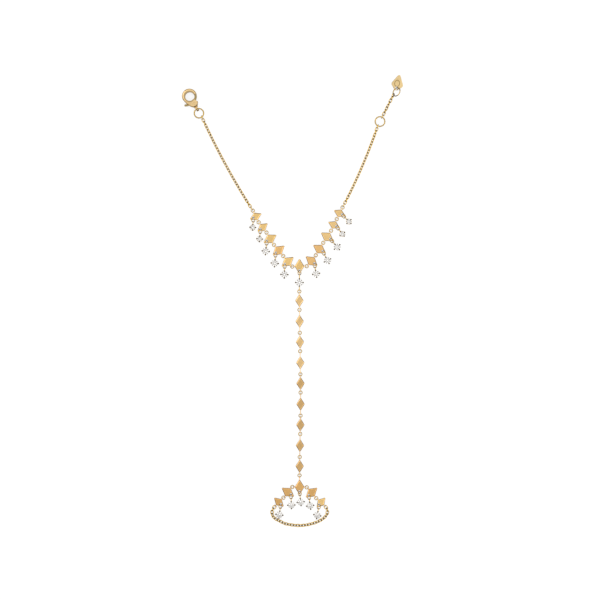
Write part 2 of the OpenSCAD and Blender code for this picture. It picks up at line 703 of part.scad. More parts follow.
module wedge_outline() {
  polygon(concat(
    [[0, tail_hole_d / 2], [tail_w / 2, tail_hole_d / 2], [tail_w / 2 + neck_flare, tail_hole_d + tail_wall]],
    [for (w = WEDGE) [wedge_r * w[1], mix(pivot_y, open_y, w[0])]],
    [[0, mix(pivot_y, open_y, WEDGE[2][0])]]));
}

// What the lever's tip can reach, right of the opening, from the angle a upward
module swing(a, reach) {
  intersection() {
    translate([0, open_y]) polygon([[0, 0], hook_od * [cos(a), sin(a)], [hook_od, 0]]);
    translate([0, pivot_y]) circle(r = reach);
  }
}

// The slot runs up the arm's side into the opening, and out on the tab's side
module lever_slot() {
  boss = lever_boss_d / 2 + boss_room;
  translate([-boss, pivot_y - boss]) square([hook_od, boss + pivot_drop - hook_d / 4]);
  translate([-hook_od, pivot_y - boss - tab_room])
    square([hook_od, boss + tab_room + tab_rise + tab_w / 2 + lever_play]);
}

module clasp_body() {
  eye_y = (tail_hole_d + tail_wall) / 2;
  clasp_place() color(gold) difference() {
    union() {
      translate([0, open_y + hook_shift, 0]) rounded_disc(hook_od / 2, clasp_t, hook_round);
      intersection() {
        rotate([-90, 0, 0]) rotate_extrude() wedge_outline();
        translate([0, open_y / 2, 0]) cube([2 * hook_od, 2 * open_y, clasp_t], center = true);
      }
      translate([0, eye_y, 0]) rotate([0, 90, 0])
        cylinder(d = tail_hole_d + 2 * tail_wall, h = tail_w, center = true);
    }
    translate([0, open_y, 0]) cylinder(d = hook_d, h = 2 * clasp_t, center = true);
    translate([0, eye_y, 0]) rotate([0, 90, 0]) cylinder(d = tail_hole_d, h = 2 * hook_od, center = true);
    linear_extrude(2 * clasp_t, center = true) swing(-hook_cut, tip_reach + tip_gap);
    linear_extrude(lever_t + 2 * lever_play, center = true) lever_slot();
    translate([0, pivot_y, 0]) cylinder(d = pin_d + 2 * pin_seat_gap, h = 2 * clasp_t, center = true);
  }
}

module lever_outline() {
  mid = (hook_d + hook_od) / 4;
  intersection() {
    translate([0, open_y]) difference() {
      circle(r = mid + arm_w / 2);
      circle(r = mid - arm_w / 2);
    }
    swing(-arm_start, tip_reach);
  }
  translate([0, pivot_y]) {
    circle(d = lever_boss_d);
    rotate(-neck_lean) square([neck_w, pivot_drop - mid + arm_w / 2]);
    rotate(atan2(-tab_rise, tab_reach)) translate([-norm([tab_reach, tab_rise]), -tab_w / 2])
      square([norm([tab_reach, tab_rise]), tab_w]);
  }
  translate(tab_end) circle(d = tab_w);
}

module clasp_lever() {
  clasp_place() color(gold) difference() {
    linear_extrude(lever_t, center = true) lever_outline();
    translate([0, pivot_y, 0]) cylinder(d = pin_d + 2 * pin_play, h = 2 * lever_t, center = true);
  }
}

module clasp_pin() {
  clasp_place() color(gold) translate([0, pivot_y, 0]) cylinder(d = pin_d, h = clasp_t - 2 * pin_recess, center = true);
}

// Rings at the ends
module clasp_ring() {
  tail = clasp_tail_heading;
  at(clasp_ring_at, (clasp_z + mid_z) / 2) on_heading((clasp_ring_heading + tail) / 2)
    rotate([clasp_ring_lean, 0, 0]) color(gold) ring(clasp_ring_r, clasp_ring_wire);
}

module sizing_ring() {
  at(sizing_ring_at, mid_z) color(gold) ring(sizing_ring_r, sizing_ring_wire);
}

module end_ring() {
  at(end_ring_at, end_ring_z) on_heading(end_ring_heading) rotate([0, -end_ring_roll, 0])
    color(gold) ring(end_ring_r, end_ring_wire);
}

module tag_outline() {
  hull() {
    circle(r = tag_hole_d / 2 + tag_rim, $fn = 32);
    for (s = [-1, 1]) translate([s * (tag_w / 2 - tag_side_r), tag_side_r + tag_rim]) circle(r = tag_side_r, $fn = 32);
    translate([0, tag_l - tag_top_r]) circle(r = tag_top_r, $fn = 32);
  }
}

module end_tag() {
  at(tag_at, mid_z) on_heading(tag_heading) rotate([0, tag_tilt, 0]) color(gold)
    linear_extrude(tag_t, center = true) difference() {
      tag_outline();
      circle(d = tag_hole_d);
    }
}

for (k = [1:wrist_count]) wrist_plate(k);
for (k = [1:hand_count]) hand_plate(k);
for (k = [1:finger_count]) finger_plate(k);
for (k = [1:wrist_count]) wrist_stone(k);
for (k = [1:finger_count]) finger_stone(k);
wrist_settings();
finger_settings();
wrist_jump_rings();
hand_jump_rings();
finger_jump_rings();
wrist_drop_rings();
finger_drop_rings();
left_chain();
right_chain();
extension_chain();
finger_chain();
clasp_body();
clasp_lever();
clasp_pin();
clasp_ring();
sizing_ring();
end_ring();
end_tag();
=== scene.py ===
# Hand chain bracelet in yellow gold: rhombus plates, round stone drops, fine chains and a lobster
# clasp, laid out on a white table. Sizes are metres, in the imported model's frame: +Y runs from the
# finger loop to the clasp and z = 0 is the table.
import logging
from dataclasses import dataclass
from enum import Enum
from math import cos, hypot, pi, radians, sin, tau
from typing import Any, Optional, Sequence, Union

import bmesh
import bpy
import numpy as np
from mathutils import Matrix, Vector


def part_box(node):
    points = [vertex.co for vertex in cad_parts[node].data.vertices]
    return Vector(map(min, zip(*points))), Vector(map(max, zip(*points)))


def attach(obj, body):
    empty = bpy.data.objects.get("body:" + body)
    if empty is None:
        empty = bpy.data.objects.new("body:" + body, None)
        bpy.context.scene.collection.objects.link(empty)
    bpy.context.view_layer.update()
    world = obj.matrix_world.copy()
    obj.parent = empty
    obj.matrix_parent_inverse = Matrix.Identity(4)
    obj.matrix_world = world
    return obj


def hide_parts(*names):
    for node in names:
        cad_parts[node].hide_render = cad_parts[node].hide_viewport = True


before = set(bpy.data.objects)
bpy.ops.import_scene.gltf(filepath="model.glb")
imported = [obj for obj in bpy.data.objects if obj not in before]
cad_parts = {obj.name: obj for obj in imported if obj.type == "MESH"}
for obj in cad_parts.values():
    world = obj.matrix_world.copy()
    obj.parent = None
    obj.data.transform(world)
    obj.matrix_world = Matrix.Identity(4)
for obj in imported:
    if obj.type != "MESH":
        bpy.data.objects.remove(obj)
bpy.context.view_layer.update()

log = logging.getLogger("bracelet")
MM = 0.001
# The mesh attribute that holds how dark the metal is made: patina where parts rub, and painted shade.
PATINA_AND_SHADE = "patina_and_shade"
# Points of a piece that lie closer than this are made one.
WELD = 0.001 * MM
# The grid, in metres, on which the doubled points of a CAD node fall together.
GRAIN = 2e-7
# The Mix node's sockets for colours: the share, the two colours and the result.
MIX_SHARE, MIX_FIRST, MIX_SECOND, MIX_RESULT = 0, 6, 7, 2
# Points in each half circle of an eyelet or a bail.
EYE_STEPS = 10
# Where links touch, seen along a loop: patina where they rub and painted shade where they hide
# each other rise by CONTACT_RISE times the share of the half length, less CONTACT_START. It is
# AROUND all round the wire and INSIDE more on its inner side.
CONTACT_RISE, CONTACT_START = 3, 1.6
AROUND, INSIDE = 0.8, 0.2
Array = np.ndarray
Rgb = tuple[float, float, float]


# Shader maths


class Wire:
    """One output socket of a shader, with arithmetic that adds the nodes for it."""

    def __init__(self, graph: "Graph", socket: bpy.types.NodeSocket) -> None:
        """Wraps a socket.

        Args:
            graph: the node tree's builder.
            socket: the output socket to wrap.
        """
        self.graph = graph
        self.socket = socket

    def _math(self, operation: str, first: "Value", second: "Value") -> "Wire":
        """Adds one Math node.

        Args:
            operation: Blender's name of the operation.
            first: the first term.
            second: the second term.

        Returns:
            The result's socket.
        """
        return self.graph.node("ShaderNodeMath", {"operation": operation}, {0: first, 1: second})

    def __add__(self, other: "Value") -> "Wire":
        """self + other."""
        return self._math("ADD", self, other)

    __radd__ = __add__

    def __sub__(self, other: "Value") -> "Wire":
        """self - other."""
        return self._math("SUBTRACT", self, other)

    def __mul__(self, other: "Value") -> "Wire":
        """self * other."""
        return self._math("MULTIPLY", self, other)


Value = Union[Wire, float, tuple]


class Graph:
    """Builds the nodes of one material or world."""

    def __init__(self, tree: bpy.types.NodeTree) -> None:
        """Empties the tree.

        Args:
            tree: the node tree to fill.
        """
        self.tree = tree
        tree.nodes.clear()

    def node(self, kind: str, settings: dict[str, Any], inputs: dict[Union[str, int], Value],
             output: Union[str, int] = 0) -> Optional[Wire]:
        """Adds a node, sets it up and joins its sockets.

        Args:
            kind: Blender's type name of the node.
            settings: its properties. "stops" holds a ramp's positions and colours.
            inputs: its sockets' values or links, by name or number.
            output: the socket to give back.

        Returns:
            The wrapped output socket, or None for a node with no outputs.
        """
        made = self.tree.nodes.new(kind)
        for key, value in settings.items():
            if key == "stops":
                self._stops(made.color_ramp, value)
            else:
                setattr(made, key, value)
        for key, value in inputs.items():
            socket = made.inputs[key]
            if isinstance(value, Wire):
                self.tree.links.new(value.socket, socket)
            else:
                socket.default_value = value
        return Wire(self, made.outputs[output]) if len(made.outputs) else None

    def _stops(self, ramp: bpy.types.ColorRamp, stops: Sequence[tuple[float, Rgb]]) -> None:
        """Sets a colour ramp's stops.

        Args:
            ramp: the ramp.
            stops: (position, colour) from low to high.
        """
        while len(ramp.elements) < len(stops):
            ramp.elements.new(1.0)
        for element, (place, colour) in zip(ramp.elements, stops):
            element.position = place
            element.color = (*colour, 1.0)

    def noise(self, scale_mm: float, detail: float = 2.0, seed: float = 0.0) -> Wire:
        """Soft noise in object space.

        Args:
            scale_mm: the size of its patches, in millimetres.
            detail: how many finer layers it has.
            seed: moves the pattern.

        Returns:
            A value from 0 to 1, near 0.5 on average.
        """
        coords = self.node("ShaderNodeTexCoord", {}, {}, "Object")
        moved = self.node("ShaderNodeVectorMath", {"operation": "ADD"}, {0: coords, 1: (seed, 2 * seed, 0.0)})
        return self.node("ShaderNodeTexNoise", {}, {
            "Vector": moved, "Scale": 1 / (scale_mm * MM), "Detail": detail})


# Finishes


@dataclass(frozen=True)
class Groove:
    """A plain oval line pressed into a face and darkened: a stamped line on the tag, painted shade on the
    clasp.
    """

    middle: tuple[float, float]
    radii: tuple[float, float]
    heading: float
    line: float = 0.22
    strength: float = 0.55

    def depth(self, graph: Graph) -> Wire:
        """How deep the line is at each point: the distance from the oval's middle is taken in
        units of its radii, and a ramp rises and falls around 1.

        Args:
            graph: the material's builder.

        Returns:
            1 in the line and 0 elsewhere.
        """
        coords = graph.node("ShaderNodeTexCoord", {}, {}, "Object")
        local = graph.node("ShaderNodeMapping", {"vector_type": "TEXTURE"}, {
            "Vector": coords, "Location": (*self.middle, 0.0), "Rotation": (0.0, 0.0, -radians(self.heading)),
            "Scale": (*self.radii, 1.0)})
        flat = graph.node("ShaderNodeVectorMath", {"operation": "MULTIPLY"}, {0: local, 1: (1.0, 1.0, 0.0)})
        out = graph.node("ShaderNodeVectorMath", {"operation": "LENGTH"}, {0: flat}, "Value")
        black, white = (0.0, 0.0, 0.0), (1.0, 1.0, 1.0)
        half = self.line / 2
        return graph.node("ShaderNodeValToRGB", {"stops": [
            (0.5 - half, black), (0.5, white), (0.5 + half, black)]}, {0: out * 0.5})


@dataclass(frozen=True)
class GoldFinish:
    """Polished yellow gold, with a slight drift of tint, soft waves left by the polishing, and a brown
    darkening, patina and painted shade, where the mesh's patina and shade value is high."""

    name: str
    colour: Rgb
    # The dark colour of patina and of painted shade.
    patina_and_shade: Rgb = (0.085, 0.05, 0.008)
    edge: Rgb = (0.75, 0.6, 0.38)
    roughness: float = 0.16
    tint_swing: float = 0.05
    patch_mm: float = 2.5
    wave: float = 0.05
    wave_mm: float = 0.9
    wave_depth: float = 0.05 * MM
    tint_stops: tuple[float, float] = (0.35, 0.65)
    polish_swing: float = 0.6
    seed: float = 0.0
    wave_seed: float = 3
    polish_seed: float = 7
    grooves: tuple[Groove, ...] = ()

    def material(self) -> bpy.types.Material:
        """Builds the metal's material.

        Returns:
            The new material.
        """
        made = bpy.data.materials.new(self.name)
        made.use_nodes = True
        graph = Graph(made.node_tree)
        patches = graph.noise(self.patch_mm, 3.0, self.seed)
        low, high = self.tint_stops
        dark = tuple(c * (1 - self.tint_swing) for c in self.colour)
        light = tuple(min(1.0, c * (1 + self.tint_swing)) for c in self.colour)
        tint = graph.node("ShaderNodeValToRGB", {"stops": [(low, dark), (high, light)]}, {0: patches})
        darkness = graph.node("ShaderNodeAttribute", {"attribute_name": PATINA_AND_SHADE}, {}, "Fac")
        height = graph.noise(self.wave_mm, 1.0, self.seed + self.wave_seed)
        for groove in self.grooves:
            depth = groove.depth(graph)
            darkness = darkness + depth * groove.strength
            height = height - depth
        # Mixed toward the dark colour by the darkness: patina and painted shade.
        mixed = graph.node("ShaderNodeMix", {"data_type": "RGBA"}, {
            MIX_SHARE: darkness, MIX_FIRST: tint, MIX_SECOND: (*self.patina_and_shade, 1.0)}, MIX_RESULT)
        drift = graph.noise(self.wave_mm, 2.0, self.seed + self.polish_seed) - 0.5
        polish = self.roughness + drift * (self.roughness * self.polish_swing)
        waves = graph.node("ShaderNodeBump", {}, {
            "Strength": self.wave, "Distance": self.wave_depth, "Height": height})
        shader = graph.node("ShaderNodeBsdfPrincipled", {}, {
            "Base Color": mixed, "Metallic": 1.0, "Roughness": polish, "Normal": waves,
            "Specular Tint": (*self.edge, 1.0)})
        graph.node("ShaderNodeOutputMaterial", {}, {"Surface": shader})
        return made


@dataclass(frozen=True)
class StoneFinish:
    """Clear white stone with a faint cloud in it."""

    name: str
    colour: Rgb = (0.72, 0.705, 0.68)
    ior: float = 2.1
    roughness: float = 0.02
    cloud: float = 0.06
    cloud_mm: float = 0.8
    cloud_stops: tuple[float, float] = (0.4, 0.6)

    def material(self) -> bpy.types.Material:
        """Builds the stone's material.

        Returns:
            The new material.
        """
        made = bpy.data.materials.new(self.name)
        made.use_nodes = True
        graph = Graph(made.node_tree)
        dim = tuple(c * (1 - self.cloud) for c in self.colour)
        low, high = self.cloud_stops
        tint = graph.node("ShaderNodeValToRGB", {"stops": [(low, dim), (high, self.colour)]},
                          {0: graph.noise(self.cloud_mm, 2.0)})
        shader = graph.node("ShaderNodeBsdfPrincipled", {}, {
            "Base Color": tint, "Metallic": 0.0, "Roughness": self.roughness, "IOR": self.ior,
            "Transmission Weight": 1.0})
        graph.node("ShaderNodeOutputMaterial", {}, {"Surface": shader})
        return made


class Tone(Enum):
    """The shades of gold that the pieces show, as base colours."""

    PLATE = (0.84, 0.57, 0.23)
    PLATE_WARM = (0.84, 0.52, 0.21)
    PLATE_PALE = (0.86, 0.59, 0.26)
    HAND = (0.80, 0.55, 0.26)
    HAND_DEEP = (0.64, 0.41, 0.175)
    FINGER = (0.71, 0.42, 0.155)
    WIRE = (0.86, 0.54, 0.05)
    RING = (0.62, 0.4, 0.05)
    CLASP = (0.84, 0.60, 0.30)
    # The lever's gold, darkened as painted shade.
    LEVER = (0.40, 0.30, 0.13)
    TAG = (0.47, 0.35, 0.175)


class Workshop:
    """Keeps one material of each finish."""

    def __init__(self) -> None:
        """Starts with no materials."""
        self.made: dict[str, bpy.types.Material] = {}

    def of(self, finish: Union[GoldFinish, StoneFinish]) -> bpy.types.Material:
        """The material of a finish, built the first time.

        Args:
            finish: the finish.

        Returns:
            Its material.
        """
        if finish.name not in self.made:
            self.made[finish.name] = finish.material()
        return self.made[finish.name]


WORKSHOP = Workshop()


# Surfaces


@dataclass
class Skin:
    """Points and faces of one or more closed surfaces."""

    points: Array
    faces: list[Array]
    # How dark each point is made: patina where parts rub, and painted shade.
    shade: Optional[Array] = None

    def darkening(self) -> Array:
        """How dark each point is made, from 0 to 1: patina and painted shade."""
        return np.zeros(len(self.points)) if self.shade is None else self.shade

    def moved(self, place: Array, axes: Array) -> "Skin":
        """The skin in another place.

        Args:
            place: where its origin goes.
            axes: the rows that its x, y and z turn into.

        Returns:
            The moved skin.
        """
        return Skin(self.points @ axes + place, self.faces, self.shade)


def joined(skins: list[Skin]) -> Skin:
    """Several skins as one: points stacked, and each face list shifted by the points before it.

    Args:
        skins: the skins.

    Returns:
        One skin.
    """
    starts = np.cumsum([0] + [len(s.points) for s in skins[:-1]])
    faces = [f + start for s, start in zip(skins, starts) for f in s.faces]
    return Skin(np.concatenate([s.points for s in skins]), faces, np.concatenate([s.darkening() for s in skins]))


def woven(grid: Array, close_rows: bool = True, cap: bool = False) -> Skin:
    """A grid of points as quads: each point joins its neighbours along both directions, and the
    last column joins the first.

    Args:
        grid: points, rows by columns by 3.
        close_rows: joins the last row to the first.
        cap: closes the first and last rows with a fan round their middle.

    Returns:
        The skin.
    """
    rows, columns = grid.shape[:2]
    index = np.arange(rows * columns).reshape(rows, columns)
    down = np.roll(index, -1, 0) if close_rows else index[1:]
    here = index if close_rows else index[:-1]
    right, down_right = np.roll(here, -1, 1), np.roll(down, -1, 1)
    quads = np.stack([here, right, down_right, down], -1)
    points, faces = grid.reshape(-1, 3), [quads.reshape(-1, 4)]
    if cap:
        middles = np.stack([grid[0].mean(0), grid[-1].mean(0)])
        first, last = index[0], index[-1]
        low, high = np.full(columns, len(points)), np.full(columns, len(points) + 1)
        faces.append(np.stack([low, np.roll(first, -1), first], -1))
        faces.append(np.stack([high, last, np.roll(last, -1)], -1))
        points = np.concatenate([points, middles])
    return Skin(points, faces)


def stadium(length: float, width: float, steps: int) -> Array:
    """An oval loop in the xy plane: a half circle at each end of y, joined by straights.

    Args:
        length: over the ends, along y, at the wire's middle.
        width: across, along x.
        steps: points in each half circle, which share no point where there is no straight.

    Returns:
        Points, in order round the loop.
    """
    turn = np.linspace(0, pi, steps, endpoint=length > width)
    turns = np.concatenate([turn, turn + pi])
    shift = np.repeat([1, -1], steps) * (length - width) / 2
    return np.stack([width / 2 * np.cos(turns), width / 2 * np.sin(turns) + shift, 0 * turns], -1)


def wire_loop(path: Array, wire: float, round_steps: int = 12, contact: float = 0.0) -> Skin:
    """A round wire bent along a flat closed loop: at each point of the loop a circle stands
    across it, in the plane of the loop's normal z and its outward direction. The circles run
    backward, so that the faces look outward on a loop whose points run anticlockwise.

    Args:
        path: the loop's points in the xy plane.
        wire: the wire's diameter.
        round_steps: points round the wire.
        contact: the patina and painted shade inside the loop's two ends, where its neighbours touch.

    Returns:
        The wire's skin.
    """
    along = np.roll(path, -1, 0) - np.roll(path, 1, 0)
    along /= np.linalg.norm(along, axis=1, keepdims=True)
    out = np.stack([along[:, 1], -along[:, 0], 0 * along[:, 0]], -1)
    turn = np.linspace(0, -tau, round_steps, endpoint=False)
    up = np.array([0, 0, 1])
    rim = np.cos(turn)[None, :, None] * out[:, None] + np.sin(turn)[None, :, None] * up
    skin = woven(path[:, None] + wire / 2 * rim)
    # Patina and painted shade at the loop's two ends, more on its inner side.
    bend = np.clip(np.abs(path[:, 1]) / np.abs(path[:, 1]).max() * CONTACT_RISE - CONTACT_START, 0, 1)
    skin.shade = np.outer(bend * contact, AROUND + INSIDE * np.clip(-np.cos(turn), 0, 1)).ravel()
    return skin


def ring(diameter: float, wire: float, steps: int = 40) -> Skin:
    """A closed ring in the xy plane: a round wire carried along a circle.

    Args:
        diameter: over the wire.
        wire: the wire's diameter.
        steps: points along the circle.

    Returns:
        The ring's skin.
    """
    turn = np.linspace(0, tau, steps, endpoint=False)
    r = (diameter - wire) / 2
    return wire_loop(np.stack([r * np.cos(turn), r * np.sin(turn), 0 * turn], -1), wire)


def spindle(path: Array, radii: Array, round_steps: int = 14) -> Skin:
    """A round bar along a path in the xz plane: at each point a circle of its own radius stands
    across the path, and the two ends are closed.

    Args:
        path: the bar's axis, points by 3.
        radii: the bar's radius at each point.
        round_steps: points round the bar.

    Returns:
        The bar's skin.
    """
    along = np.gradient(path, axis=0)
    along /= np.linalg.norm(along, axis=1, keepdims=True)
    side = np.cross(along, [0.0, 1.0, 0.0])
    side /= np.linalg.norm(side, axis=1, keepdims=True)
    other = np.cross(along, side)
    turn = np.linspace(0, tau, round_steps, endpoint=False)
    rim = np.cos(turn)[None, :, None] * side[:, None] + np.sin(turn)[None, :, None] * other[:, None]
    return woven(path[:, None] + radii[:, None, None] * rim, close_rows=False, cap=True)


def heading_axes(degrees: float) -> Array:
    """The rows that turn x and y clockwise by a heading, seen from above."""
    a = radians(degrees)
    return np.array([[cos(a), -sin(a), 0], [sin(a), cos(a), 0], [0, 0, 1]])


# On edge: the loop's x goes down the z axis, and its normal lies along x.
ON_EDGE = np.array([[0.0, 0.0, -1.0], [0.0, 1.0, 0.0], [1.0, 0.0, 0.0]])


# Pieces


def weld(mesh: bpy.types.Mesh) -> None:
    """Joins the points that coincide and drops the faces that have no area left.

    Args:
        mesh: the mesh, changed in place.
    """
    work = bmesh.new()
    work.from_mesh(mesh)
    bmesh.ops.remove_doubles(work, verts=work.verts, dist=WELD)
    work.to_mesh(mesh)
    work.free()


@dataclass
class Piece:
    """One finished object: its name, its finish, its slot and the CAD nodes that it stands for."""

    name: str
    skin: Skin
    finish: GoldFinish
    slot: str
    stands_for: tuple[str, ...]
    body: str = "bracelet"
    sharp: float = 32.0
    painted_flank_shade: float = 0.85
    flank_top: float = 0.95
    flank_low: float = 0.3

    def build(self) -> bpy.types.Object:
        """Makes the object, shades it and puts it on its body.

        Returns:
            The new object.
        """
        mesh = bpy.data.meshes.new(self.name)
        faces = [face for block in self.skin.faces for face in block.tolist()]
        mesh.from_pydata(self.skin.points.tolist(), [], faces)
        self._age(mesh)
        weld(mesh)
        mesh.shade_smooth()
        mesh.set_sharp_from_angle(angle=radians(self.sharp))
        mesh.materials.append(WORKSHOP.of(self.finish))
        made = bpy.data.objects.new(self.name, mesh)
        bpy.context.scene.collection.objects.link(made)
        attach(made, self.body)
        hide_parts(*self.stands_for)
        log.info("%s: %d points, %d faces", self.name, len(mesh.vertices), len(mesh.polygons))
        return made

    def _age(self, mesh: bpy.types.Mesh) -> None:
        """Writes the darkening: the skin's own patina and painted shade, and more painted shade on
        the flanks that look to the side or down.

        Args:
            mesh: the piece's mesh.
        """
        normals = np.zeros(len(mesh.vertices) * 3)
        mesh.vertices.foreach_get("normal", normals)
        # Painted shade on flanks that turn from up toward the side or down.
        painted_flank_shade = np.clip((self.flank_top - normals[2::3]) / (self.flank_top - self.flank_low), 0, 1)
        patina_and_shade = np.clip(self.skin.darkening() + self.painted_flank_shade * painted_flank_shade, 0, 1).astype(np.float32)
        mesh.attributes.new(PATINA_AND_SHADE, "FLOAT", "POINT").data.foreach_set("value", patina_and_shade)


def cad_points(node: str) -> tuple[Array, Array]:
    """A CAD node's points, with doubles merged, and its triangles.

    Args:
        node: the node's name.

    Returns:
        The points and the triangles' point numbers.
    """
    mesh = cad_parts[node].data
    points = np.zeros(len(mesh.vertices) * 3)
    mesh.vertices.foreach_get("co", points)
    points = points.reshape(-1, 3)
    mesh.calc_loop_triangles()
    triangles = np.zeros(len(mesh.loop_triangles) * 3, np.int64)
    mesh.loop_triangles.foreach_get("vertices", triangles)
    cells = np.round(points / GRAIN).astype(np.int64)
    _, first, inverse = np.unique(cells, axis=0, return_index=True, return_inverse=True)
    return points[first], inverse.reshape(-1)[triangles].reshape(-1, 3)


@dataclass
class Link:
    """One loose loop of wire, measured from its solid."""

    centre: Array
    axes: Array
    length: float
    width: float
    wire: float
    least_slope: float = 0.1

    def skin(self, steps: int, contact: float) -> Skin:
        """The loop's smooth skin.

        Args:
            steps: points in each half circle.
            contact: the patina and painted shade inside its ends.

        Returns:
            The skin, in place.
        """
        path = stadium(self.length - self.wire, self.width - self.wire, steps)
        return wire_loop(path, self.wire, contact=contact).moved(self.centre, self.axes)

    def rounded(self) -> "Link":
        """The same loop as a circle. A circle has no long way of its own, so where it leans, its
        y runs level.

        Returns:
            The circle.
        """
        normal = self.axes[2]
        level = np.cross([0.0, 0.0, 1.0], normal)
        slope = np.linalg.norm(level)
        y = level / slope if slope > self.least_slope else self.axes[1]
        axes = np.stack([np.cross(y, normal), y, normal])
        return Link(self.centre, axes, self.length, self.length, self.wire)


def loose_links(node: str) -> list[Link]:
    """Each separate loop of a CAD node. Points joined by triangles share the lowest number among
    them until nothing changes. A loop's normal is the axis in which its points spread least, and
    its length lies along the one in which they spread most.

    Args:
        node: the node's name.

    Returns:
        The loops.
    """
    points, triangles = cad_points(node)
    label = np.arange(len(points))
    while True:
        low = label[triangles].min(1)
        new = label.copy()
        for column in range(3):
            np.minimum.at(new, triangles[:, column], low)
        new = new[new]
        if (new == label).all():
            break
        label = new
    return [measured(points[label == one]) for one in np.unique(label)]


def measured(points: Array) -> Link:
    """The place and size of one loop, from its points.

    Args:
        points: the loop's points.

    Returns:
        The loop.
    """
    middle = points.mean(0)
    _, vectors = np.linalg.eigh(np.cov((points - middle).T))
    axes = np.stack([vectors[:, 1], vectors[:, 2], np.cross(vectors[:, 1], vectors[:, 2])])
    local = (points - middle) @ axes.T
    low, high = local.min(0), local.max(0)
    size = high - low
    return Link(middle + (low + high) / 2 @ axes, axes, float(max(size[:2])), float(size[0]), float(size[2]))


@dataclass
class Wirework:
    """A node of loose loops: a chain, a set of jump rings or one large ring."""

    node: str
    finish: GoldFinish
    steps: int = 12
    is_round: bool = False
    contact: float = 0.0
    # Painted shade on the wires' sides.
    painted_flank_shade: float = 1.5

    def build(self) -> None:
        """Makes every loop of the node as one piece."""
        links = loose_links(self.node)
        if self.is_round:
            links = [k.rounded() for k in links]
        skin = joined([k.skin(self.steps, self.contact) for k in links])
        Piece(self.node + "_wire", skin, self.finish, "wire_gold", (self.node,), painted_flank_shade=self.painted_flank_shade).build()
        log.info("%s holds %d loops", self.node, len(links))


# Plates


